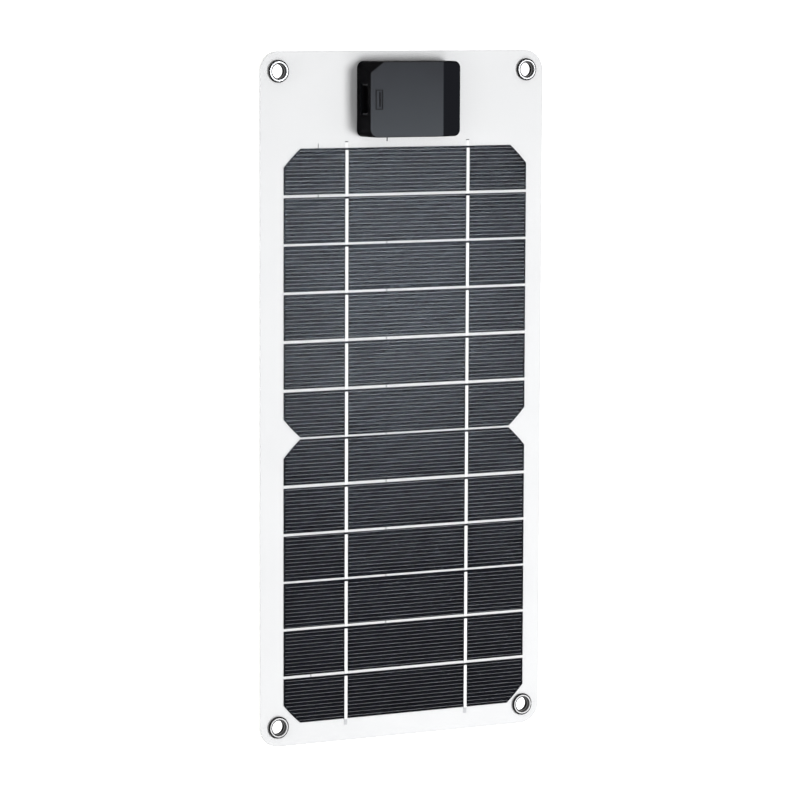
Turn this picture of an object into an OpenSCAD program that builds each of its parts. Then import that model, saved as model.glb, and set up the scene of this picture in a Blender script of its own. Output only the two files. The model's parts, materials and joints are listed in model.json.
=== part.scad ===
// Small flexible solar panel: twelve cell strips laminated on a board, four corner eyelets,
// and a charging box with a USB-A port. It stands upright, as it hangs on a wall.
// +Z points to the end with the box, +X to the right seen from the front, and the front faces -Y.
// The origin is the centre of the four eyelets, on the plane that their rolled backs touch.

/* [Panel] */
// Width of the panel
panel_w = 145.5; // [142:0.5:160]
// Height of the panel
panel_h = 316.5; // [312:0.5:330]
// Radius of the panel's corners
corner_r = 9.5; // [4:0.5:12]

/* [Layers] */
// Thickness of the white film on the back
rear_film_t = 0.13; // [0.1:0.01:0.3]
// Thickness of the glass-fibre board
board_t = 1.1; // [0.8:0.1:2]
// Thickness of the sealing sheet behind the white sheet
rear_seal_t = 0.3; // [0.25:0.05:0.6]
// Thickness of the white sheet that shows between the cells
white_t = 0.2; // [0.1:0.05:0.4]
// Thickness of the clear sealing sheet that the cells lie in
front_seal_t = 0.65; // [0.65:0.05:1]
// Thickness of the clear film on the front
front_film_t = 0.08; // [0.05:0.01:0.09]
// Air left between the clear sheets and what they cover
seal_gap = 0.02; // [0.01:0.01:0.03]

/* [Cells] */
// Width of the square wafer that six strips are cut from
wafer_w = 125; // [120:1:128]
// Diameter of the round wafer before it was cut square
wafer_d = 165; // [155:1:170]
// Height of one cell strip
strip_h = 20.75; // [18:0.05:20.8]
// Thickness of a cell
cell_t = 0.2; // [0.15:0.01:0.2]
// Middle of the cells, to the right of the eyelets' centre
cells_x = 1.6; // [-2:0.1:2]
// Middle of the cells, below the eyelets' centre
cells_drop = 16.8; // [14:0.1:17.5]

/* [Ribbons] */
// Width of the ribbons that join the cells
ribbon_w = 1.5; // [1:0.1:2.5]
// Thickness of a ribbon
ribbon_t = 0.18; // [0.1:0.01:0.18]
// Distance between the two columns of ribbons
ribbon_spacing = 62.5; // [50:0.5:70]
// How far the columns lie right of the cells' middle
ribbon_shift = 0.45; // [-1:0.05:1]
// How far a ribbon stops short of a cell's far edge
ribbon_short = 0.9; // [0.5:0.1:3]
// How far the end ribbons reach past the cells
tab_out = 3; // [2:0.1:3.5]
// Width of the cross ribbons hidden behind the white sheet
bus_w = 4; // [2:0.5:4]

/* [Eyelets] */
// From the panel's edges to each eyelet's centre
eyelet_inset = 9; // [8:0.1:10]
// Radius of an eyelet's hole
eyelet_hole_r = 3.2; // [2.5:0.1:3.6]
// Wall of an eyelet's barrel
barrel_wall = 0.35; // [0.2:0.05:0.5]
// Width of the brim on the front
brim_w = 1.9; // [1.5:0.1:2]
// How far the brim stands out, which is also the radius of both its edges
brim_h = 0.6; // [0.4:0.05:0.8]
// Radius of the roll on the back
rear_roll_r = 0.45; // [0.35:0.05:0.5]
// Thickness of the washer under the rear roll
washer_t = 0.4; // [0.3:0.05:0.6]
// Radius of the washer
washer_r = 5.6; // [5:0.1:6]

/* [Box] */
// Width of the charging box
box_w = 47.5; // [46:0.5:50]
// Height of the charging box
box_h = 34.2; // [34:0.1:36]
// How far the box stands out from the panel
box_d = 14; // [13.2:0.1:15]
// Middle of the box, left of the eyelets' centre
box_left = 0.8; // [-3:0.1:3]
// From the panel's top edge to the box
box_top_gap = 4.65; // [3:0.05:5]
// Wall of the box
box_wall = 1.5; // [1.2:0.1:1.6]
// Radius of the box's corners
box_corner_r = 3; // [2:0.1:4]
// How far along the top the front face's upper left corner is cut off
box_cut_w = 7.2; // [5:0.1:8]
// How far down the side the same corner is cut off
box_cut_h = 5.6; // [4:0.1:7]
// Radius of the front face's lower left corner
box_soft_r = 4; // [3:0.1:6]
// Rounding of the front edges
box_edge_r = 0.9; // [0.4:0.1:1.5]
// Width of the sloping strip on the right of the front face
slope_w = 10; // [6:0.5:12]
// How far that strip falls towards its right edge
slope_fall = 2.5; // [1:0.1:3]
// Thickness of the adhesive pad under the box
pad_t = 0.5; // [0.3:0.1:1]
// Thickness of the floor of the box's base
floor_t = 1.5; // [1.2:0.1:1.8]

/* [USB port] */
// Width of the opening of the USB-A port
port_w = 12.5; // [12.5:0.01:12.6]
// Height of the opening of the USB-A port
port_h = 5.12; // [5.12:0.01:5.2]
// Length of the port's metal shell
shell_l = 14; // [13:0.5:15]
// Thickness of the shell's sheet
shell_t = 0.35; // [0.25:0.05:0.4]

/* [Circuit] */
// Width of the circuit board
pcb_w = 40; // [39:0.5:41]
// Height of the circuit board
pcb_h = 28; // [27:0.5:29]
// Thickness of the circuit board
pcb_t = 1.2; // [1:0.1:1.2]
// Height of the posts under the circuit board
post_h = 1.4; // [0.8:0.1:1.5]

/* [Hidden] */
$fn = 96;
strip_count = 12;
group_count = 6;
// The strips were laid by hand, so the gaps between them differ a little.
gaps = [1.3, 1.1, 1.2, 1.4, 1.4, 0.9, 1.4, 1.2, 1.0, 1.2, 1.3];

// Planes across the panel's depth, from the back (0) to the front
rear_y = -(rear_roll_r + washer_t);
board_y = rear_y - rear_film_t;
rear_seal_y = board_y - board_t;
white_y = rear_seal_y - rear_seal_t;
bed_y = white_y - white_t;
cell_y = bed_y - ribbon_t;
cell_front_y = cell_y - cell_t;
film_y = bed_y - front_seal_t;
face_y = film_y - front_film_t;

barrel_r = eyelet_hole_r + barrel_wall;
eyelet_x = panel_w / 2 - eyelet_inset;
eyelet_z = panel_h / 2 - eyelet_inset;

// Places of the cell strips, counted from 0 at the top
function total(list, n) = n == 0 ? 0 : list[n - 1] + total(list, n - 1);
block_h = strip_count * strip_h + total(gaps, strip_count - 1);
block_top = -cells_drop + block_h / 2;
function strip_top(k) = block_top - k * strip_h - total(gaps, k);
function strip_low(k) = strip_top(k) - strip_h;
ribbon_xs = [for (side = [-1, 1]) cells_x + ribbon_shift + side * ribbon_spacing / 2];

// The hidden cross ribbons and the two leads that rise into the box
tab_leg = 0.25;
bus_t = 0.2;
bus_reach = 2.5;
top_tab_z = strip_top(0) + tab_out;
low_tab_z = strip_low(strip_count - 1) - tab_out;
return_x = -46;
lead_w = 3;
lead_t = 0.3;
lead_xs = [-9, 4];
lead_slot = 0.2;

// Places inside the box, measured forward from the panel's face
box_x = -box_left;
box_z = panel_h / 2 - box_top_gap - box_h / 2;
rim_d = pad_t + floor_t;
pcb_d = rim_d + post_h;
pcb_front_d = pcb_d + pcb_t;
lead_z = box_z - box_h / 2 + 6;
lip_t = 1;
lip_h = 1.1;
lip_gap = 0.1;
pad_inset = 0.8;
shell_w = port_w + 2 * shell_t;
shell_h = port_h + 2 * shell_t;
shell_d = pcb_front_d + shell_h / 2;
flare = 0.25;
window_gap = 0.15;
mouth_recess = 0.8;
mouth_x = -box_w / 2 + mouth_recess;
fine = 0.01;

// Extra rounding of the two upright edges beside the front face's corner cut
cut_soften = 0.6;

// The sign beside the port, the port's inner block and tongue, and the contacts on it
sign_w = 3.6;
sign_h = 9;
sign_line = 0.4;
sign_lift = 0.3;
sign_x = -box_w / 2 + 4.4;
block_l = 3;
block_x = mouth_x + shell_l - shell_t - block_l;
tongue_w = 11;
tongue_h = 1.8;
tongue_d = 0.7;
contact_w = 1;
contact_t = 0.2;
contact_zs = [-3.5, -1, 1, 3.5];

// The parts on the circuit board: places from its middle, then sizes
chip_at = [3, 8];
chip_size = [5, 4, 1.4];
chip_leg = [0.4, 1.1, 0.3];
chip_pitch = 1.27;
inductor_at = [2, -3];
inductor_r = 3.6;
inductor_h = 4.6;
core_r = 1.6;
core_t = 0.9;
coil_inset = 0.4;
can_at = [[10, -3], [10, 5]];
can_r = 2.5;
can_h = 5.4;
can_foot = [5.3, 5.3, 0.6];
diode_at = [10, 11];
diode_size = [4.4, 2.6, 2.1];
diode_tabs = [5.2, 1.4, 0.25];
resistor_at = [16.5, -6];
resistor_size = [2, 1.25, 0.5];
resistor_step = 2.4;
resistor_count = 6;

// ---------- helpers ----------

// Turns a drawing in X and Z into a sheet that starts at depth y and grows forward by t.
module sheet(y, t) {
    translate([0, y, 0]) rotate([90, 0, 0]) linear_extrude(t) children();
}

// Places children in the box: x right, y up and z forward from the panel's face.
module in_box(x = 0, z = 0, d = 0) {
    translate([box_x + x, face_y - d, box_z + z]) rotate([90, 0, 0]) children();
}

module rounded_rect(w, h, r) {
    square([w - 2 * r, h], center = true);
    square([w, h - 2 * r], center = true);
    for (sx = [-1, 1], sy = [-1, 1])
        translate([sx * (w / 2 - r), sy * (h / 2 - r)]) circle(r = r);
}

module at_eyelets() {
    for (sx = [-1, 1], sz = [-1, 1])
        translate([sx * eyelet_x, sz * eyelet_z]) children();
}

module panel_outline() {
    difference() {
        rounded_rect(panel_w, panel_h, corner_r);
        at_eyelets() circle(r = barrel_r);
    }
}

// Slots that the two leads pass through
module lead_slots() {
    for (x = lead_xs)
        translate([x, lead_z]) square([lead_w + lead_slot, lead_t + lead_slot], center = true);
}

// A strip that keeps the corners of the round wafer that it was cut from
module cell_outline(k, grow = 0) {
    place = k % group_count;
    middle = strip_top(k) - strip_h / 2;
    wafer_z = middle - ((group_count - 1) / 2 - place) * strip_h;
    intersection() {
        translate([cells_x, middle]) square([wafer_w + 2 * grow, strip_h + 2 * grow], center = true);
        translate([cells_x, wafer_z]) circle(r = wafer_d / 2 + grow, $fn = 240);
    }
}

// Ribbons with one side profile, in points [y, z], in both columns
module ribbon_pair(profile) {
    for (x = ribbon_xs)
        translate([x - ribbon_w / 2, 0, 0])
            rotate([90, 0, 90]) linear_extrude(ribbon_w) polygon(profile);
}

// ---------- laminate ----------

module rear_film() {
    color("whitesmoke") sheet(rear_y, rear_film_t) panel_outline();
}

module rear_board() {
    color("palegoldenrod") sheet(board_y, board_t) panel_outline();
}

module top_bus_outline() {
    reach = ribbon_w / 2 + bus_reach;
    low = top_tab_z - bus_w / 2;
    translate([ribbon_xs[0] - reach, low])
        square([ribbon_spacing + 2 * reach, bus_w]);
    translate([lead_xs[1] - bus_w / 2, low])
        square([bus_w, lead_z + lead_t / 2 + 1 - low]);
}

module bottom_bus_outline() {
    right = ribbon_xs[1] + ribbon_w / 2 + bus_reach;
    translate([return_x - bus_w / 2, low_tab_z - bus_w / 2])
        square([right - return_x + bus_w / 2, bus_w]);
}

module return_outline() {
    low = low_tab_z + bus_w / 2;
    high = lead_z + bus_w / 2;
    translate([return_x - bus_w / 2, low]) square([bus_w, high - low]);
    translate([return_x - bus_w / 2, high - bus_w])
        square([lead_xs[0] + lead_w / 2 + 1 - return_x + bus_w / 2, bus_w]);
}

module rear_seal() {
    color("gainsboro") difference() {
        sheet(rear_seal_y, rear_seal_t) panel_outline();
        sheet(white_y + bus_t, bus_t + fine) {
            top_bus_outline();
            bottom_bus_outline();
            return_outline();
        }
    }
}

module white_sheet() {
    color("white") sheet(white_y, white_t) difference() {
        panel_outline();
        lead_slots();
        for (x = ribbon_xs) {
            translate([x, top_tab_z - tab_leg / 2])
                square([ribbon_w + seal_gap, tab_leg + seal_gap], center = true);
            translate([x, low_tab_z + tab_leg / 2])
                square([ribbon_w + seal_gap, tab_leg + seal_gap], center = true);
        }
    }
}

module front_seal() {
    cell_pocket = ribbon_t + cell_t + seal_gap;
    ribbon_pocket = cell_pocket + ribbon_t;
    color([0.9, 0.95, 1, 0.25]) difference() {
        sheet(bed_y - seal_gap, front_seal_t - 2 * seal_gap) difference() {
            panel_outline();
            lead_slots();
        }
        for (k = [0 : strip_count - 1])
            sheet(bed_y, cell_pocket) cell_outline(k, seal_gap);
        for (x = ribbon_xs)
            sheet(bed_y, ribbon_pocket)
                translate([x - ribbon_w / 2 - seal_gap, low_tab_z - seal_gap])
                    square([ribbon_w + 2 * seal_gap, top_tab_z - low_tab_z + 2 * seal_gap]);
    }
}

module front_film() {
    color([0.9, 0.95, 1, 0.25]) sheet(film_y, front_film_t) difference() {
        panel_outline();
        lead_slots();
    }
}

// ---------- cells and ribbons ----------

module cell(k) {
    color("midnightblue") sheet(cell_y, cell_t) cell_outline(k);
}

// Runs down the front of strip k, dives through the gap and runs down the back of the next.
module interconnect(k) {
    front = cell_front_y - ribbon_t;
    color("silver") ribbon_pair([
        [front, strip_top(k) - ribbon_short],
        [cell_front_y, strip_top(k) - ribbon_short],
        [cell_front_y, strip_low(k)],
        [bed_y, strip_top(k + 1)],
        [bed_y, strip_low(k + 1) + ribbon_short],
        [cell_y, strip_low(k + 1) + ribbon_short],
        [cell_y, strip_top(k + 1)],
        [front, strip_low(k)]
    ]);
}

// From the back of the first strip to the cross ribbon behind the white sheet
module top_tabs() {
    color("silver") ribbon_pair([
        [cell_y, strip_low(0) + ribbon_short],
        [bed_y, strip_low(0) + ribbon_short],
        [bed_y, top_tab_z - tab_leg],
        [white_y, top_tab_z - tab_leg],
        [white_y, top_tab_z],
        [cell_y, top_tab_z]
    ]);
}

// From the front of the last strip to the cross ribbon behind the white sheet
module bottom_tabs() {
    last = strip_count - 1;
    front = cell_front_y - ribbon_t;
    bend = 1;
    color("silver") ribbon_pair([
        [front, strip_top(last) - ribbon_short],
        [cell_front_y, strip_top(last) - ribbon_short],
        [cell_front_y, strip_low(last)],
        [bed_y, strip_low(last) - bend],
        [bed_y, low_tab_z + tab_leg],
        [white_y, low_tab_z + tab_leg],
        [white_y, low_tab_z],
        [cell_y, low_tab_z],
        [cell_y, strip_low(last) - bend],
        [front, strip_low(last)]
    ]);
}

module top_bus() {
    color("silver") sheet(white_y + bus_t, bus_t) top_bus_outline();
}

module bottom_bus() {
    color("silver") sheet(white_y + bus_t, bus_t) bottom_bus_outline();
}

module return_ribbon() {
    color("silver") sheet(white_y + bus_t, bus_t) return_outline();
}

// A flat lead from a hidden ribbon, through the panel and the circuit board
module lead(x) {
    out = 0.6;
    color("silver") sheet(white_y, white_y - face_y + pcb_front_d + out)
        translate([x, lead_z]) square([lead_w, lead_t], center = true);
}

// ---------- eyelets ----------

// The front brim, the barrel and the rear roll are one piece of drawn sheet.
module eyelet() {
    curl_x = eyelet_hole_r + rear_roll_r;
    rotate([90, 0, 0]) rotate_extrude() {
        translate([eyelet_hole_r, rear_roll_r]) square([barrel_wall, -face_y - rear_roll_r]);
        intersection() {
            translate([eyelet_hole_r, -face_y]) {
                for (x = [brim_h, brim_w - brim_h]) translate([x, 0]) circle(r = brim_h, $fn = 48);
                translate([brim_h, 0]) square([brim_w - 2 * brim_h, brim_h]);
            }
            translate([eyelet_hole_r, -face_y]) square([brim_w, brim_h]);
        }
        intersection() {
            translate([curl_x, rear_roll_r]) circle(r = rear_roll_r, $fn = 48);
            translate([eyelet_hole_r, 0]) square([2 * rear_roll_r, rear_roll_r]);
        }
    }
}

module eyelets() {
    color("silver")
        for (sx = [-1, 1], sz = [-1, 1])
            translate([sx * eyelet_x, 0, sz * eyelet_z]) eyelet();
}

module eyelet_washers() {
    color("silver") sheet(-rear_roll_r, washer_t) at_eyelets() difference() {
        circle(r = washer_r);
        circle(r = barrel_r);
    }
}

// ---------- charging box ----------

// A post with a rounded top, one corner of a hull
module rounded_post(x, y, r, top, edge) {
    for (a = [0 : 15 : 90])
        translate([x, y, 0])
            cylinder(r = r - edge + edge * cos(a), h = top - edge + edge * sin(a), $fn = 40);
}

// The outer form of the box, or its hollow when every face is moved in by inset
module box_form(inset = 0) {
    edge = max(box_edge_r - inset, 0.3);
    r = box_corner_r - inset;
    soft_r = box_soft_r - inset;
    cut_r = edge + cut_soften;
    right = box_w / 2 - inset;
    high = box_h / 2 - inset;
    top = box_d - inset;
    ridge_x = box_w / 2 - slope_w;
    hull() {
        rounded_post(-right + soft_r, -high + soft_r, soft_r, top, edge);
        rounded_post(-right + cut_r, high - box_cut_h + inset, cut_r, top, edge);
        rounded_post(-right + box_cut_w - inset, high - cut_r, cut_r, top, edge);
        for (side = [-1, 1])
            translate([-right + r, side * (high - r), 0]) cylinder(r = r, h = fine, $fn = 40);
        for (side = [-1, 1]) {
            rounded_post(ridge_x, side * (high - edge), edge, top, edge);
            rounded_post(right - r, side * (high - r), r, top - slope_fall, edge);
        }
    }
}

// A small raised sign beside the port: the outline of a socket with its tongue
module port_sign() {
    linear_extrude(sign_lift + fine) {
        difference() {
            square([sign_w, sign_h], center = true);
            square([sign_w - 2 * sign_line, sign_h - 2 * sign_line], center = true);
        }
        translate([sign_line, 0]) square([2 * sign_line, sign_h - 6 * sign_line], center = true);
    }
}

module port_window() {
    cut_w = shell_w + 2 * (flare + window_gap);
    cut_h = shell_h + 2 * (flare + window_gap);
    translate([-box_w / 2 - 1, -cut_w / 2, shell_d - cut_h / 2])
        cube([box_wall + 2, cut_w, cut_h]);
}

module box_pad() {
    color("dimgray") in_box() linear_extrude(pad_t) difference() {
        rounded_rect(box_w - 2 * pad_inset, box_h - 2 * pad_inset, box_corner_r - pad_inset);
        translate([-box_x, -box_z]) lead_slots();
    }
}

module box_base() {
    post_r = 1.5;
    lip_inset = box_wall + lip_gap;
    color([0.07, 0.07, 0.08]) in_box() difference() {
        union() {
            translate([0, 0, pad_t]) linear_extrude(floor_t)
                rounded_rect(box_w, box_h, box_corner_r);
            translate([0, 0, rim_d]) linear_extrude(lip_h) difference() {
                rounded_rect(box_w - 2 * lip_inset, box_h - 2 * lip_inset,
                    box_corner_r - box_wall);
                rounded_rect(box_w - 2 * (lip_inset + lip_t), box_h - 2 * (lip_inset + lip_t),
                    box_corner_r - box_wall);
            }
            for (sx = [-1, 1], sy = [-1, 1])
                translate([sx * (pcb_w / 2 - 2.5), sy * (pcb_h / 2 - 2.5), rim_d])
                    cylinder(r = post_r, h = post_h);
        }
        translate([-box_x, -box_z, 0]) linear_extrude(rim_d + fine) lead_slots();
    }
}

module box_cover() {
    color([0.09, 0.09, 0.1]) in_box() {
        difference() {
            box_form();
            translate([-box_w, -box_h, -1]) cube([2 * box_w, 2 * box_h, rim_d + 1]);
            box_form(box_wall);
            port_window();
        }
        translate([sign_x, 0, box_d - fine]) port_sign();
    }
}

// ---------- circuit ----------

module circuit_board() {
    color("darkgreen") in_box(d = pcb_d) linear_extrude(pcb_t) difference() {
        square([pcb_w, pcb_h], center = true);
        translate([-box_x, -box_z]) lead_slots();
    }
}

// A folded metal box, open to the left, with a flared mouth
module usb_shell() {
    color("silver") in_box(d = shell_d) difference() {
        union() {
            translate([mouth_x, -shell_w / 2, -shell_h / 2]) cube([shell_l, shell_w, shell_h]);
            translate([mouth_x, -shell_w / 2 - flare, -shell_h / 2 - flare])
                cube([shell_t, shell_w + 2 * flare, shell_h + 2 * flare]);
        }
        translate([mouth_x - 1, -port_w / 2, -port_h / 2])
            cube([shell_l - shell_t + 1, port_w, port_h]);
    }
}

// The port's inner block, with the tongue that carries the contacts
module usb_tongue() {
    color([0.05, 0.05, 0.06]) in_box(d = shell_d) {
        translate([block_x, -port_w / 2, -port_h / 2]) cube([block_l, port_w, port_h]);
        translate([mouth_x + 1, -tongue_w / 2, tongue_d])
            cube([block_x - mouth_x - 1 + fine, tongue_w, tongue_h]);
    }
}

module usb_contacts() {
    color("gold") in_box(d = shell_d)
        for (z = contact_zs)
            translate([mouth_x + 2, z - contact_w / 2, tongue_d - contact_t])
                cube([block_x - mouth_x - 2, contact_w, contact_t]);
}

// A block that stands on the circuit board, centred on its place
module on_board(size, lift = 0) {
    translate([-size.x / 2, -size.y / 2, lift]) cube(size);
}

module regulator_chip() {
    color([0.08, 0.08, 0.08]) in_box(x = chip_at.x, z = chip_at.y, d = pcb_front_d) {
        on_board(chip_size, chip_leg.z / 3);
        for (n = [-1.5 : 1 : 1.5], side = [-1, 1])
            translate([n * chip_pitch, side * (chip_size.y + chip_leg.y) / 2, 0])
                on_board(chip_leg + [0, 0.1, 0]);
    }
}

module inductor_core() {
    color("dimgray") in_box(x = inductor_at.x, z = inductor_at.y, d = pcb_front_d) {
        cylinder(r = inductor_r, h = core_t);
        cylinder(r = core_r, h = inductor_h);
        translate([0, 0, inductor_h - core_t]) cylinder(r = inductor_r, h = core_t);
    }
}

module inductor_coil() {
    color("peru") in_box(x = inductor_at.x, z = inductor_at.y, d = pcb_front_d + core_t)
        difference() {
            cylinder(r = inductor_r - coil_inset, h = inductor_h - 2 * core_t);
            translate([0, 0, -1]) cylinder(r = core_r, h = inductor_h);
        }
}

// An aluminium can on a square foot
module can_capacitor(place) {
    color("silver") in_box(x = place.x, z = place.y, d = pcb_front_d) {
        on_board(can_foot);
        cylinder(r = can_r, h = can_h);
    }
}

module blocking_diode() {
    color([0.08, 0.08, 0.08]) in_box(x = diode_at.x, z = diode_at.y, d = pcb_front_d) {
        on_board(diode_size);
        on_board(diode_tabs);
    }
}

module chip_resistors() {
    color("black") in_box(x = resistor_at.x, z = resistor_at.y, d = pcb_front_d)
        for (n = [0 : resistor_count - 1])
            translate([0, n * resistor_step, 0]) on_board(resistor_size);
}

// ---------- nodes ----------

rear_film();
rear_board();
rear_seal();
white_sheet();
front_seal();
front_film();
cell(0);  // cell_01
cell(1);  // cell_02
cell(2);  // cell_03
cell(3);  // cell_04
cell(4);  // cell_05
cell(5);  // cell_06
cell(6);  // cell_07
cell(7);  // cell_08
cell(8);  // cell_09
cell(9);  // cell_10
cell(10);  // cell_11
cell(11);  // cell_12
interconnect(0);  // interconnect_01
interconnect(1);  // interconnect_02
interconnect(2);  // interconnect_03
interconnect(3);  // interconnect_04
interconnect(4);  // interconnect_05
interconnect(5);  // interconnect_06
interconnect(6);  // interconnect_07
interconnect(7);  // interconnect_08
interconnect(8);  // interconnect_09
interconnect(9);  // interconnect_10
interconnect(10);  // interconnect_11
top_tabs();
bottom_tabs();
top_bus();
bottom_bus();
return_ribbon();
lead(lead_xs[1]);  // positive_lead
lead(lead_xs[0]);  // negative_lead
eyelets();
eyelet_washers();
box_pad();
box_base();
box_cover();
circuit_board();
usb_shell();
usb_tongue();
usb_contacts();
regulator_chip();
inductor_core();
inductor_coil();
can_capacitor(can_at[0]);  // input_capacitor
can_capacitor(can_at[1]);  // output_capacitor
blocking_diode();
chip_resistors();
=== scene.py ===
"""Looks of a small solar panel with a charging box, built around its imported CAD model.

The CAD nodes keep their shapes and get procedural materials. What is too thin for the CAD is made here:
the printed silver fingers on the cells, and the printed alignment ticks around them. Lengths are in metres
unless a name says otherwise, and angles in degrees. The frame is the CAD's: +Z is the end with the box, +X
is right from the front, and the front faces -Y.
"""

import json
import math
from itertools import product

import bpy
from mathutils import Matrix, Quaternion, Vector


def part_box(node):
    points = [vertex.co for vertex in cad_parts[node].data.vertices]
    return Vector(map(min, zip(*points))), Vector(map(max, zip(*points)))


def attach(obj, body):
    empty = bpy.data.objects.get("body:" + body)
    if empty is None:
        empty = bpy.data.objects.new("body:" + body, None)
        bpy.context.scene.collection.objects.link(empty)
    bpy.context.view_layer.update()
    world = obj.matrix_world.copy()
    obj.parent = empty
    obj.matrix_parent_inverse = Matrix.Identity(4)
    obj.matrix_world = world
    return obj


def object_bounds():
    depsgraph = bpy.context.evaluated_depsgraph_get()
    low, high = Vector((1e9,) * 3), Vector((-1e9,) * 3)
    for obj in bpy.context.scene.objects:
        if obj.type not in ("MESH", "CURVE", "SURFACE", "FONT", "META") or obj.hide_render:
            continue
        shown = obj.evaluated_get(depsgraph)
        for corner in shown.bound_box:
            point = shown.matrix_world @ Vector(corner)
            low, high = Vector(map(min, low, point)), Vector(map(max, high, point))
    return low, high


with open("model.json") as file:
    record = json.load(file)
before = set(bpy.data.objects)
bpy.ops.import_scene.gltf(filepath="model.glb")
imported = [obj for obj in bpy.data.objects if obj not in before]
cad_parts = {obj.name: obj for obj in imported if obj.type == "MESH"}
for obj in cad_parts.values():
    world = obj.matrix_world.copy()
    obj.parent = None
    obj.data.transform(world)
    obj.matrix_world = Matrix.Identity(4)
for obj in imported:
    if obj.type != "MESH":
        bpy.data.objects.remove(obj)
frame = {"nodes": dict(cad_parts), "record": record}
cad_low, cad_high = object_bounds()

MM = 0.001
STRIP_COUNT = 12
CELLS = [f"cell_{number:02d}" for number in range(1, STRIP_COUNT + 1)]

# ---------------------------------------------------------------- camera

VIEW_AZIMUTH = -27.63
VIEW_ELEVATION = 6.27
VIEW_ROLL = 0.2
VIEW_DISTANCE = 1726 * MM
AIM_SHIFT = Vector((-1.6, 0, -1.8)) * MM
LENS_MM = 168.9
SENSOR_MM = 36


def direction(azimuth, elevation):
    """Unit vector from the panel to something at these angles. Azimuth 0 is straight in front of it."""
    azimuth, elevation = math.radians(azimuth), math.radians(elevation)
    flat = math.cos(elevation)
    return Vector((math.sin(azimuth) * flat, -math.cos(azimuth) * flat, math.sin(elevation)))


def look_against(thing, back, roll=0.0):
    """Turns a camera or a light so that it looks against a direction, upright but for the roll."""
    thing.rotation_mode = "QUATERNION"
    thing.rotation_quaternion = (-back).to_track_quat("-Z", "Y") @ Quaternion((0, 0, 1), math.radians(roll))


def make_camera():
    """Camera at the front's left and a little above, aimed near the middle of the cells' face."""
    data = bpy.data.cameras.new("camera")
    data.lens = LENS_MM
    data.sensor_width = SENSOR_MM
    camera = bpy.data.objects.new("camera", data)
    bpy.context.scene.collection.objects.link(camera)
    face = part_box(CELLS[0])[0].y
    back = direction(VIEW_AZIMUTH, VIEW_ELEVATION)
    camera.location = Vector((0, face, 0)) + AIM_SHIFT + back * VIEW_DISTANCE
    look_against(camera, back, VIEW_ROLL)
    bpy.context.scene.camera = camera


# ---------------------------------------------------------------- materials

# Noise seldom leaves this range, so it is stretched to the whole range of what it drives
NOISE_LOW = 0.3
NOISE_HIGH = 0.7

# The blue in a grey tone of the plating, as a share of its red and green
PLATING_BLUE = 1.01


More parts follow.
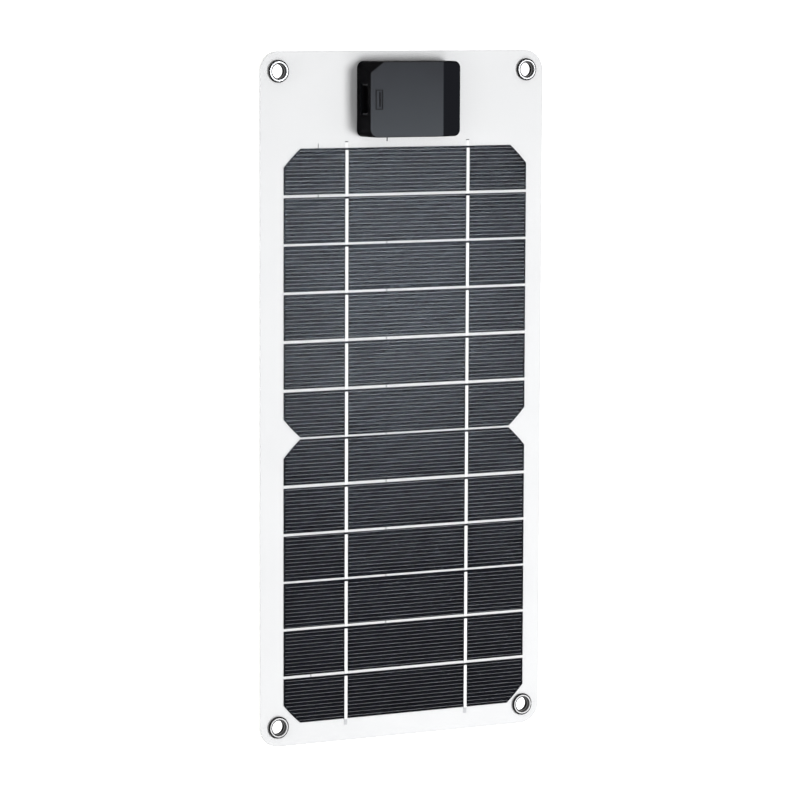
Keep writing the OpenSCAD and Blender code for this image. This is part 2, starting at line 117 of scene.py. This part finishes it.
class Paint:
    """A Principled material, with short calls for the patterns that feed it.

    Its colour or roughness is left out where a pattern feeds it.
    """

    def __init__(self, name, colour=None, roughness=None, metallic=0.0, specular=0.5):
        self.material = bpy.data.materials.new(name)
        self.material.use_nodes = True
        self.tree = self.material.node_tree
        self.shader = self.tree.nodes["Principled BSDF"]
        if colour:
            self.set("Base Color", (*colour, 1.0))
        if roughness:
            self.set("Roughness", roughness)
        self.set("Metallic", metallic)
        self.set("Specular IOR Level", specular)

    def set(self, socket, value):
        self.shader.inputs[socket].default_value = value

    def feed(self, socket, output):
        self.tree.links.new(output, self.shader.inputs[socket])

    def plug(self, socket, value):
        """Links an output to the socket, or gives the socket a plain value."""
        if isinstance(value, bpy.types.NodeSocket):
            self.tree.links.new(value, socket)
        else:
            socket.default_value = value

    def node(self, kind, **inputs):
        made = self.tree.nodes.new(kind)
        for name, value in inputs.items():
            self.plug(made.inputs[name.replace("_", " ")], value)
        return made

    def place(self, stretch=(1, 1, 1)):
        """Coordinates in metres in the CAD's frame, stretched along its axes."""
        coordinates = self.tree.nodes.new("ShaderNodeTexCoord").outputs["Object"]
        return self.node("ShaderNodeMapping", Vector=coordinates, Scale=stretch).outputs["Vector"]

    def axes(self, vector):
        """The X, Y and Z of a vector, by name."""
        return self.node("ShaderNodeSeparateXYZ", Vector=vector).outputs

    def noise(self, size, detail=3.0, stretch=(1, 1, 1)):
        """Noise whose blotches are about size metres across."""
        made = self.node("ShaderNodeTexNoise", Vector=self.place(stretch), Scale=1 / size, Detail=detail)
        return made.outputs["Fac"]

    def ramp(self, value, start, end):
        """A number that goes from start[1] to end[1] as value goes from start[0] to end[0]."""
        made = self.node("ShaderNodeMapRange", Value=value, From_Min=start[0], To_Min=start[1],
                         From_Max=end[0], To_Max=end[1])
        return made.outputs["Result"]

    def between(self, noise, low, high):
        """A number that goes from low to high as the noise goes over its usual range."""
        return self.ramp(noise, (NOISE_LOW, low), (NOISE_HIGH, high))

    def number(self, operation, first, second):
        made = self.node("ShaderNodeMath")
        made.operation = operation
        self.plug(made.inputs[0], first)
        self.plug(made.inputs[1], second)
        return made.outputs["Value"]

    def vector(self, operation, first, second=(0, 0, 0), output="Vector"):
        made = self.node("ShaderNodeVectorMath")
        made.operation = operation
        self.plug(made.inputs[0], first)
        self.plug(made.inputs[1], second)
        return made.outputs[output]

    def tones(self, value, tones, span):
        """Greys at their places along a span, over which value goes from 0 to 1."""
        made = self.node("ShaderNodeValToRGB", Fac=value)
        stops = made.color_ramp.elements
        stops.remove(stops[1])
        for number, (place, tone) in enumerate(tones):
            stop = stops.new(place / span) if number else stops[0]
            stop.position = place / span
            stop.color = (tone, tone, tone * PLATING_BLUE, 1.0)
        return made.outputs["Color"]

    def blend(self, factor, colour_a, colour_b):
        """Colour a where the factor is 0 and colour b where it is 1."""
        made = self.tree.nodes.new("ShaderNodeMix")
        made.data_type = "RGBA"
        factor_in, a_in, b_in = made.inputs[0], made.inputs[6], made.inputs[7]
        self.plug(factor_in, factor)
        for socket, colour in ((a_in, colour_a), (b_in, colour_b)):
            self.plug(socket, (*colour, 1.0) if isinstance(colour, tuple) else colour)
        return made.outputs[2]

    def bump(self, height, depth, strength=1.0):
        """Relief of the given depth in metres."""
        made = self.node("ShaderNodeBump", Height=height, Strength=strength, Distance=depth)
        self.feed("Normal", made.outputs["Normal"])


def silicon():
    """Textured, nearly black silicon, a little bluer and lighter in soft patches."""
    paint = Paint("silicon")
    paint.set("Specular Tint", (0.76, 0.87, 1.0, 1.0))
    patch = paint.between(paint.noise(60 * MM, detail=2), 0, 1)
    paint.feed("Base Color", paint.blend(patch, (0.003, 0.003, 0.0045), (0.0048, 0.005, 0.0078)))
    grain = paint.noise(0.35 * MM, detail=4)
    paint.feed("Roughness", paint.between(grain, 0.2, 0.27))
    return paint.material


def silver_paste():
    """Printed silver, matt and a little uneven in brightness."""
    paint = Paint("silver_paste", roughness=0.3, metallic=0.75)
    wear = paint.between(paint.noise(6 * MM, detail=4), 0, 1)
    paint.feed("Base Color", paint.blend(wear, (0.39, 0.395, 0.41), (0.46, 0.465, 0.48)))
    return paint.material


# Below the last strip the ribbons' tabs fade over TAB_FADE to a darker grey, a painted reflection of dark
# surroundings. The top tabs carry a painted shadow over their last TAB_END, where they dive through the
# white sheet, and the painted shadow starts softly, over the short fade declared last.
TAB_FADE = 0.6 * MM
TAB_END = 0.45 * MM
SLOT_SHADOW_FADE = 0.1 * MM


def tinned_ribbon():
    """Solder-coated copper, bright and rippled where the solder has flowed.

    The lowest tabs are painted a darker grey, a painted reflection of dark surroundings, and the top tabs
    get a painted shadow where they dive through the white sheet.
    """
    paint = Paint("tinned_ribbon", metallic=0.05)
    flow = paint.noise(3 * MM, detail=4, stretch=(1, 1, 0.3))
    bright = paint.blend(paint.between(flow, 0, 1), (0.92, 0.92, 0.94), (0.98, 0.98, 0.98))
    height = paint.axes(paint.place())["Z"]
    cells_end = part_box(CELLS[-1])[0].z
    below_cells = paint.ramp(height, (cells_end, 0.0), (cells_end - TAB_FADE, 1.0))
    # Painted reflection: the tabs below the cells turn a darker grey
    tabs_with_painted_reflection = paint.blend(below_cells, bright, (0.57, 0.575, 0.59))
    # Painted shadow on the top tabs' ends, where they dive into the white sheet
    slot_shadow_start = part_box("top_tabs")[1].z - TAB_END
    in_slot_shadow = paint.ramp(height, (slot_shadow_start, 0.0), (slot_shadow_start + SLOT_SHADOW_FADE, 1.0))
    paint.feed("Base Color", paint.blend(in_slot_shadow, tabs_with_painted_reflection, (0.08, 0.08, 0.085)))
    paint.feed("Roughness", paint.between(flow, 0.32, 0.5))
    paint.bump(flow, 0.05 * MM, strength=0.5)
    return paint.material


# The width of the painted shade along the white sheet's rim, and the radius of the sheet's rounded corners
SHADED_RIM_W = 0.5 * MM
CORNER_R = 9.5 * MM


def edge_distance(paint, low, high):
    """How far a point lies from a rounded rectangle's outline: 0 on it, and negative inside."""
    middle = (low + high) / 2
    straight = (high - low) / 2 - Vector((CORNER_R, 0, CORNER_R))
    offset = paint.vector("SUBTRACT", paint.place((1, 0, 1)), (middle.x, 0, middle.z))
    folded = paint.vector("ABSOLUTE", offset)
    beyond = paint.vector("SUBTRACT", folded, (straight.x, 0, straight.z))
    outside = paint.vector("MAXIMUM", beyond)
    reach = paint.vector("LENGTH", outside, output="Value")
    return paint.number("SUBTRACT", reach, CORNER_R)


def white_sheet():
    """White polyester under the clear layers: even, with a trace of mottling and painted shade along its
    rim.
    """
    paint = Paint("white_sheet", roughness=0.4)
    mottle = paint.between(paint.noise(35 * MM), 0, 1)
    plain = paint.blend(mottle, (0.765, 0.77, 0.777), (0.79, 0.794, 0.8))
    # Painted shade: a narrow band along the sheet's outline is darkened where its edge falls away
    rim = paint.ramp(edge_distance(paint, *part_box("white_sheet")), (-SHADED_RIM_W, 0.0), (-SHADED_RIM_W / 2, 1.0))
    paint.feed("Base Color", paint.blend(rim, plain, (0.69, 0.695, 0.7)))
    paint.bump(paint.noise(1.2 * MM, detail=2), 0.01 * MM, strength=0.3)
    return paint.material


def clear_layer(name, alpha):
    """A clear sheet: next to nothing of its own colour, and a soft orange-peel gloss."""
    paint = Paint(name, (0.02, 0.02, 0.022), roughness=0.12)
    paint.set("Alpha", alpha)
    paint.bump(paint.noise(7 * MM, detail=1), 0.02 * MM, strength=0.08)
    return paint.material


def plain_film():
    """The white film on the back, with a fine matt grain."""
    paint = Paint("rear_film", roughness=0.55)
    soil = paint.between(paint.noise(50 * MM, detail=4), 0, 1)
    paint.feed("Base Color", paint.blend(soil, (0.78, 0.78, 0.775), (0.83, 0.83, 0.82)))
    paint.bump(paint.noise(0.3 * MM), 0.015 * MM, strength=0.5)
    return paint.material


def cut_laminate(name, colour_a, colour_b, roughness):
    """A layer that only shows its cut edge, with fibres and saw marks along it."""
    paint = Paint(name, roughness=roughness)
    streak = paint.noise(2 * MM, detail=4, stretch=(1, 8, 1))
    paint.feed("Base Color", paint.blend(paint.between(streak, 0, 1), colour_a, colour_b))
    paint.bump(streak, 0.03 * MM, strength=0.5)
    return paint.material


# How bright the plating is painted: painted highlights and painted shade, a white band on the brim's front
# with dark rings round it, and a dark barrel with a paler band in it. On the brim's front it goes by how
# many mm a point lies from the eyelet's axis, and elsewhere by how many mm it lies behind the brim's front:
# first the barrel's wall, then the roll on the back.
BRIM_R_MM = 5.1
BRIM_TONES = ((3.2, 0.06), (3.86, 0.06), (3.96, 0.93), (4.36, 0.93), (4.46, 0.015), (BRIM_R_MM, 0.015))
DEPTH_TONES = ((0, 0.015), (0.68, 0.015), (0.8, 0.3), (1.3, 0.3), (1.6, 0.01), (3.3, 0.01), (3.42, 0.88))

# Where the brim's own tones give way to those by depth, behind the brim's front
BRIM_BAND = (0.22 * MM, 0.34 * MM)

# Plating painted darker than the first tone is painted shade, made dull and not metallic, and brighter than
# the second is bare metal
SHADE_TONE = 0.1
METAL_TONE = 0.4


def nickel():
    """Bright nickel plate with hairline scuffs, and painted highlights and painted shade round the brim and
    in the barrel.
    """
    low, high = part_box("eyelets")
    paint = Paint("nickel")
    behind = paint.axes(paint.place())["Y"]
    depth = paint.ramp(behind, (low.y, 0.0), (high.y, 1.0))
    by_depth = paint.tones(depth, DEPTH_TONES, (high.y - low.y) / MM)
    brim_r = BRIM_R_MM * MM
    axis = (high.x - brim_r, 0, high.z - brim_r)
    aside = paint.vector("SUBTRACT", paint.vector("ABSOLUTE", paint.place()), axis)
    radius = paint.vector("LENGTH", paint.vector("MULTIPLY", aside, (1, 0, 1)), output="Value")
    by_radius = paint.tones(paint.ramp(radius, (0.0, 0.0), (brim_r, 1.0)), BRIM_TONES, BRIM_R_MM)
    on_brim = paint.ramp(behind, (low.y + BRIM_BAND[0], 1.0), (low.y + BRIM_BAND[1], 0.0))
    tone = paint.blend(on_brim, by_depth, by_radius)
    # The plating's colour is painted highlights and painted shade
    paint.feed("Base Color", tone)
    bare = paint.ramp(tone, (SHADE_TONE, 0.0), (METAL_TONE, 1.0))
    paint.feed("Metallic", bare)
    paint.feed("Specular IOR Level", paint.ramp(bare, (0.0, 0.02), (1.0, 0.5)))
    scuff = paint.noise(0.5 * MM, detail=5, stretch=(1, 0.25, 1))
    paint.feed("Roughness", paint.between(scuff, 0.16, 0.26))
    paint.bump(scuff, 0.01 * MM, strength=0.2)
    return paint.material


# Moulded plastic is up to this many times as light in patches, and its roughness strays this far down and up
HANDLED_LIGHTER = 1.35
HANDLED_ROUGHNESS = (-0.04, 0.05)
MOULDED_SPECULAR = 0.35


def moulded_black(name, colour, roughness):
    """Black moulded plastic with the fine grain of a spark-eroded mould."""
    paint = Paint(name, specular=MOULDED_SPECULAR)
    handled = paint.noise(14 * MM)
    lighter = tuple(HANDLED_LIGHTER * channel for channel in colour)
    paint.feed("Base Color", paint.blend(paint.between(handled, 0, 1), colour, lighter))
    least, most = (roughness + change for change in HANDLED_ROUGHNESS)
    paint.feed("Roughness", paint.between(handled, least, most))
    paint.bump(paint.noise(0.22 * MM), 0.02 * MM, strength=0.6)
    return paint.material


# The cover's front, by depth behind its foremost point: the raised sign ends within SIGN_BAND, and the
# flat front within FRONT_BAND. The slope at its right is SLOPE_W wide, and the ridge before it RIDGE_W.
SIGN_BAND = (0.1 * MM, 0.2 * MM)
FRONT_BAND = (0.4 * MM, 0.75 * MM)
SLOPE_W = 10 * MM
RIDGE_W = 0.6 * MM

# The Y of the normals of what counts as a wall, and of what counts as facing forward: the walls are painted
# darker than the slope, as painted shade
WALL_NORMAL_Y = -0.6
FORWARD_NORMAL_Y = -0.92


def box_plastic():
    """Black plastic with painted light and shade. Its flat front is spark-textured and greyer, and its slope
    and walls are smooth.
    """
    low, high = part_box("box_cover")
    paint = Paint("box_plastic", roughness=0.42)
    at = paint.axes(paint.place())
    in_band = paint.ramp(at["Y"], (low.y + FRONT_BAND[0], 1.0), (low.y + FRONT_BAND[1], 0.0))
    slope_x = high.x - SLOPE_W
    before_slope = paint.ramp(at["X"], (slope_x - RIDGE_W, 1.0), (slope_x, 0.0))
    textured = paint.number("MULTIPLY", in_band, before_slope)
    handled = paint.between(paint.noise(14 * MM), 0, 1)
    grey = paint.blend(handled, (0.025, 0.026, 0.031), (0.029, 0.031, 0.037))
    # Painted light from below: the front is painted paler towards the bottom
    downward = paint.ramp(at["Z"], (low.z, 1.0), (high.z, 0.0))
    painted_light_below = paint.blend(downward, grey, (0.053, 0.058, 0.066))
    # Painted shade: the raised sign is painted near black, standing in for the shade of its relief
    on_sign = paint.ramp(at["Y"], (low.y + SIGN_BAND[0], 1.0), (low.y + SIGN_BAND[1], 0.0))
    front = paint.blend(on_sign, painted_light_below, (0.01, 0.01, 0.012))
    normal = paint.tree.nodes.new("ShaderNodeNewGeometry").outputs["Normal"]
    forward = paint.ramp(paint.axes(normal)["Y"], (WALL_NORMAL_Y, 0.0), (FORWARD_NORMAL_Y, 1.0))
    # Painted shade: the smooth walls are painted darker than the smooth slope
    smooth = paint.blend(forward, (0.0025, 0.0025, 0.003), (0.0095, 0.01, 0.0125))
    paint.feed("Base Color", paint.blend(textured, smooth, front))
    paint.feed("Specular IOR Level", paint.ramp(textured, (0.0, 0.008), (1.0, 0.5)))
    paint.bump(paint.noise(0.22 * MM), 0.02 * MM, strength=0.5)
    return paint.material


# How far down and up the roughness of rolled metal strays
ROLLED_ROUGHNESS = (-0.06, 0.1)


def metal(name, colour, roughness, grain=(1, 1, 8)):
    """Drawn or rolled metal, with its grain along one axis."""
    paint = Paint(name, colour, metallic=1.0)
    lines = paint.noise(0.6 * MM, detail=4, stretch=grain)
    least, most = (roughness + change for change in ROLLED_ROUGHNESS)
    paint.feed("Roughness", paint.between(lines, least, most))
    paint.bump(lines, 0.01 * MM, strength=0.4)
    return paint.material


# The pattern of the circuit board's tracks is laid out in units of this length, and a track is this share of
# a unit wide
TRACK_UNIT = 30 * MM
TRACK_SHARE = 0.02


def circuit_green():
    """Solder mask over copper tracks, which show as faint lighter lines."""
    paint = Paint("circuit_green", roughness=0.3)
    track = paint.node("ShaderNodeTexBrick", Vector=paint.place((1, 0, 1)), Scale=1 / TRACK_UNIT,
                       Mortar_Size=TRACK_SHARE)
    paint.feed("Base Color", paint.blend(track.outputs["Fac"], (0.015, 0.1, 0.045), (0.05, 0.22, 0.1)))
    return paint.material


def foam():
    """Closed-cell foam, cut open at its edges."""
    paint = Paint("foam_pad", (0.02, 0.02, 0.02), roughness=0.9)
    paint.bump(paint.noise(0.25 * MM, detail=2), 0.05 * MM, strength=0.8)
    return paint.material


def ink():
    """Black marking ink, thin in places."""
    paint = Paint("marking_ink", roughness=0.6)
    thin = paint.between(paint.noise(0.6 * MM), 0, 1)
    paint.feed("Base Color", paint.blend(thin, (0.04, 0.04, 0.045), (0.11, 0.11, 0.12)))
    return paint.material


def slot_materials():
    """One finished material for each of the record's material slots."""
    return {
        "rear_film": plain_film(),
        "glass_fibre": cut_laminate("glass_fibre", (0.9, 0.9, 0.87), (0.84, 0.84, 0.8), 0.6),
        "milky_seal": cut_laminate("milky_seal", (0.9, 0.9, 0.91), (0.86, 0.87, 0.88), 0.4),
        "white_sheet": white_sheet(),
        "clear_seal": clear_layer("clear_seal", alpha=0.01),
        "clear_film": clear_layer("clear_film", alpha=0.015),
        "silicon": silicon(),
        "silver_paste": silver_paste(),
        "tinned_ribbon": tinned_ribbon(),
        "nickel": nickel(),
        "foam_pad": foam(),
        "box_plastic": box_plastic(),
        "circuit_green": circuit_green(),
        # The port's steel is painted near black, as painted shade inside the port
        "port_steel": metal("port_steel", (0.05, 0.05, 0.053), 0.4),
        "port_black": moulded_black("port_black", (0.015, 0.015, 0.016), 0.4),
        "contact_gold": metal("contact_gold", (0.85, 0.62, 0.25), 0.25),
        "chip_black": moulded_black("chip_black", (0.02, 0.02, 0.022), 0.5),
        "ferrite": moulded_black("ferrite", (0.07, 0.07, 0.072), 0.65),
        "copper_wire": metal("copper_wire", (0.75, 0.35, 0.18), 0.3, grain=(1, 12, 1)),
        "can_aluminium": metal("can_aluminium", (0.82, 0.82, 0.83), 0.25, grain=(1, 8, 1)),
        "marking_ink": ink(),
    }


def dress_nodes(materials):
    """Gives every CAD node the finish of its slot in the record, and lets light through the clear ones."""
    for entry in frame["record"]["subparts"]:
        node = frame["nodes"][entry["node"]]
        node.data.materials.clear()
        node.data.materials.append(materials[entry["material_slot"]])
    for name in ("front_film", "front_seal"):
        clear = frame["nodes"][name]
        clear.visible_shadow = False
        clear.visible_diffuse = False


# ---------------------------------------------------------------- pieces

# The sides of a box, by the numbers of its corners
BOX_SIDES = ((0, 1, 3, 2), (4, 6, 7, 5), (0, 4, 5, 1), (2, 3, 7, 6), (0, 2, 6, 4), (1, 5, 7, 3))


def add_piece(name, boxes, slot, materials):
    """One piece made of closed boxes, each given by its low and high corners, which rides on the panel."""
    vertices = []
    faces = []
    for low, high in boxes:
        first = len(vertices)
        vertices += product(*zip(low, high))
        faces += [tuple(first + corner for corner in side) for side in BOX_SIDES]
    mesh = bpy.data.meshes.new(name)
    mesh.from_pydata(vertices, [], faces)
    mesh.validate()
    mesh.materials.append(materials[slot])
    piece = bpy.data.objects.new(name, mesh)
    bpy.context.scene.collection.objects.link(piece)
    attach(piece, "root")


# The wafer that a group of six strips is cut from
GROUP = 6
WAFER_W = 125 * MM
WAFER_R = 82.5 * MM

# The fingers printed on a strip, and how far they stay from its edges, from the wafer's outline and from
# the ribbons
FINGER_COUNT = 12
FINGER_PITCH = 1.68 * MM
FINGER_W = 0.2 * MM
PRINT_T = 0.012 * MM
EDGE_CLEAR = 0.4 * MM
WAFER_CLEAR = 0.8 * MM
RIBBON_CLEAR = 0.4 * MM

# How far above the middle of its strip each strip's printed grid sits, since the wafers were sawn by eye
GRID_SHIFT_MM = (0, 0.5, 0.85, -0.25, -0.1, 0, 0, 0.35, 0.6, -0.7, -0.2, 0)

# Decimals that give a length in metres to the micrometre
MICROMETRE_DECIMALS = 6


def ribbon_spans():
    """The left and right sides of both columns of ribbons, from one pair's own vertices."""
    vertices = frame["nodes"]["interconnect_01"].data.vertices
    xs = sorted({round(vertex.co.x, MICROMETRE_DECIMALS) for vertex in vertices})
    return [(xs[0], xs[1]), (xs[-2], xs[-1])]


def finger_boxes(index):
    """The fingers of one strip. A shifted grid has room for one more above or below, so both are tried."""
    low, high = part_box(CELLS[index])
    middle_x = (low.x + high.x) / 2
    middle_z = (low.z + high.z) / 2
    wafer_z = middle_z - ((GROUP - 1) / 2 - index % GROUP) * (high.z - low.z)
    grid_z = middle_z + GRID_SHIFT_MM[index] * MM
    spans = ribbon_spans()
    boxes = []
    for line in range(-1, FINGER_COUNT + 1):
        z = grid_z + ((FINGER_COUNT - 1) / 2 - line) * FINGER_PITCH
        if not low.z + EDGE_CLEAR < z < high.z - EDGE_CLEAR:
            continue
        reach = min(WAFER_W / 2, math.sqrt(WAFER_R ** 2 - (z - wafer_z) ** 2)) - WAFER_CLEAR
        stops = [middle_x - reach]
        for left, right in spans:
            stops += [left - RIBBON_CLEAR, right + RIBBON_CLEAR]
        stops.append(middle_x + reach)
        for start, end in zip(stops[::2], stops[1::2]):
            boxes.append(((start, low.y - PRINT_T, z - FINGER_W / 2), (end, low.y, z + FINGER_W / 2)))
    return boxes


# The ticks stand at TICK_X in most gaps, and further out in the first gap, above it and in the last gap
TICK_X = -8.5 * MM
FIRST_TICK_X = -43.5 * MM
LAST_TICK_X = -47 * MM
TICK_W = 0.35 * MM
TOP_TICK_H = 2.2 * MM
BOX_TICK_W = 0.65 * MM
BOX_TICK_H = 3 * MM


def tick_boxes():
    """Short printed lines on the white sheet by which the strips and the box were laid.

    One lies in each gap between two strips, one above the first strip and one below the box.
    """
    gap_xs = [TICK_X] * (STRIP_COUNT - 1)
    gap_xs[0] = FIRST_TICK_X
    gap_xs[-1] = LAST_TICK_X
    ticks = []
    for x, upper, lower in zip(gap_xs, CELLS, CELLS[1:]):
        ticks.append((x, TICK_W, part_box(lower)[1].z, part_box(upper)[0].z))
    cells_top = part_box(CELLS[0])[1].z
    ticks.append((FIRST_TICK_X, TICK_W, cells_top, cells_top + TOP_TICK_H))
    pad_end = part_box("box_pad")[0].z
    ticks.append((TICK_X, BOX_TICK_W, pad_end - BOX_TICK_H, pad_end))
    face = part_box("white_sheet")[0].y
    return [((x - width / 2, face - PRINT_T, bottom), (x + width / 2, face, top))
            for x, width, bottom, top in ticks]


# ---------------------------------------------------------------- light and stage

def add_light(name, azimuth, elevation, distance, size, power, glossy=False, diffuse=True,
              colour=(1, 1, 1)):
    """A square soft light that faces the panel. It may show in the panel's gloss, or there alone."""
    data = bpy.data.lights.new(name, "AREA")
    data.shape = "SQUARE"
    data.size = size
    data.energy = power
    data.color = colour
    light = bpy.data.objects.new(name, data)
    bpy.context.scene.collection.objects.link(light)
    back = direction(azimuth, elevation)
    light.location = back * distance
    look_against(light, back)
    light.visible_camera = False
    light.visible_glossy = glossy
    light.visible_diffuse = diffuse
    return light


def light_only(light, *nodes):
    """Lets a light fall on the named CAD nodes alone."""
    receivers = bpy.data.collections.new(light.name + "_receivers")
    for name in nodes:
        receivers.objects.link(frame["nodes"][name])
    light.light_linking.receiver_collection = receivers


def make_lights():
    """Soft lights all round, a card that the clear film mirrors and a card for the plating alone."""
    add_light("key", azimuth=15, elevation=-1, distance=1.25, size=0.34, power=11.1)
    add_light("low_fill", azimuth=16, elevation=-35, distance=0.9, size=0.3, power=1.7)
    add_light("rim", azimuth=-88, elevation=0, distance=1.5, size=0.5, power=13)
    add_light("back", azimuth=170, elevation=12, distance=1.6, size=0.8, power=9)
    add_light("gloss_card", azimuth=25.7, elevation=-2.7, distance=2.2, size=0.31, power=1.75, glossy=True,
              colour=(0.9, 0.95, 1))
    plate_card = add_light("plate_card", azimuth=27.6, elevation=-6.3, distance=1.6, size=0.8, power=2.3,
                           glossy=True, diffuse=False)
    light_only(plate_card, "eyelets")


# The dark patch of the studio that the cells mirror to the camera, and the angles from its middle at which
# it starts and stops fading
MIRRORED = direction(27.3, -5)
DARK_INSIDE = 24
BRIGHT_OUTSIDE = 52
DARKEST = 0.008
WORLD_LIGHT = 0.6


def make_world():
    """Soft white all round, but for the dark patch."""
    world = bpy.data.worlds.new("studio")
    bpy.context.scene.world = world
    world.use_nodes = True
    tree = world.node_tree
    where = tree.nodes.new("ShaderNodeTexCoord").outputs["Generated"]
    aside = tree.nodes.new("ShaderNodeVectorMath")
    aside.operation = "DOT_PRODUCT"
    tree.links.new(where, aside.inputs[0])
    aside.inputs[1].default_value = MIRRORED
    fade = tree.nodes.new("ShaderNodeMapRange")
    fade.interpolation_type = "SMOOTHSTEP"
    fade.inputs["From Min"].default_value = math.cos(math.radians(BRIGHT_OUTSIDE))
    fade.inputs["From Max"].default_value = math.cos(math.radians(DARK_INSIDE))
    fade.inputs["To Min"].default_value = WORLD_LIGHT
    fade.inputs["To Max"].default_value = DARKEST
    tree.links.new(aside.outputs["Value"], fade.inputs["Value"])
    tree.links.new(fade.outputs["Result"], tree.nodes["Background"].inputs["Color"])


FLOOR_GAP = 700 * MM
FLOOR_GLOW = 1.2
BOWL_R = 6.0
BOWL_RISE = 2.2
BOWL_RINGS = 24
BOWL_SIDES = 96
FLAT_SHARE = 0.5


def bowl_mesh(ground):
    """A round floor at the given height, flat in the middle and curving up into a low wall all round."""
    vertices = [(0, 0, ground)]
    faces = []
    for ring in range(1, BOWL_RINGS + 1):
        share = ring / BOWL_RINGS
        radius = BOWL_R * share
        height = ground + BOWL_RISE * max(0.0, (share - FLAT_SHARE) / (1 - FLAT_SHARE)) ** 2
        ring_start = 1 + (ring - 1) * BOWL_SIDES
        for side in range(BOWL_SIDES):
            angle = 2 * math.pi * side / BOWL_SIDES
            vertices.append((radius * math.cos(angle), radius * math.sin(angle), height))
            here = ring_start + side
            there = ring_start + (side + 1) % BOWL_SIDES
            if ring == 1:
                faces.append((0, here, there))
            else:
                faces.append((here - BOWL_SIDES, here, there, there - BOWL_SIDES))
    mesh = bpy.data.meshes.new("floor")
    mesh.from_pydata(vertices, [], faces)
    for face in mesh.polygons:
        face.use_smooth = True
    return mesh


def make_floor():
    """A pale floor without a horizon, which neither lights the panel nor shows in its gloss."""
    paint = Paint("floor", (0.8, 0.8, 0.8), roughness=0.9, specular=0.0)
    paint.set("Emission Color", (1, 1, 1, 1))
    paint.set("Emission Strength", FLOOR_GLOW)
    mesh = bowl_mesh(cad_low.z - FLOOR_GAP)
    mesh.materials.append(paint.material)
    floor = bpy.data.objects.new("floor", mesh)
    bpy.context.scene.collection.objects.link(floor)
    floor.visible_glossy = False
    floor.visible_diffuse = False


# ---------------------------------------------------------------- build

make_camera()
make_world()
make_floor()
make_lights()
bpy.context.scene.view_settings.view_transform = "Standard"

finishes = slot_materials()
dress_nodes(finishes)
for strip, cell in enumerate(CELLS):
    add_piece(cell.replace("cell", "fingers"), finger_boxes(strip), "silver_paste", finishes)
add_piece("alignment_ticks", tick_boxes(), "marking_ink", finishes)
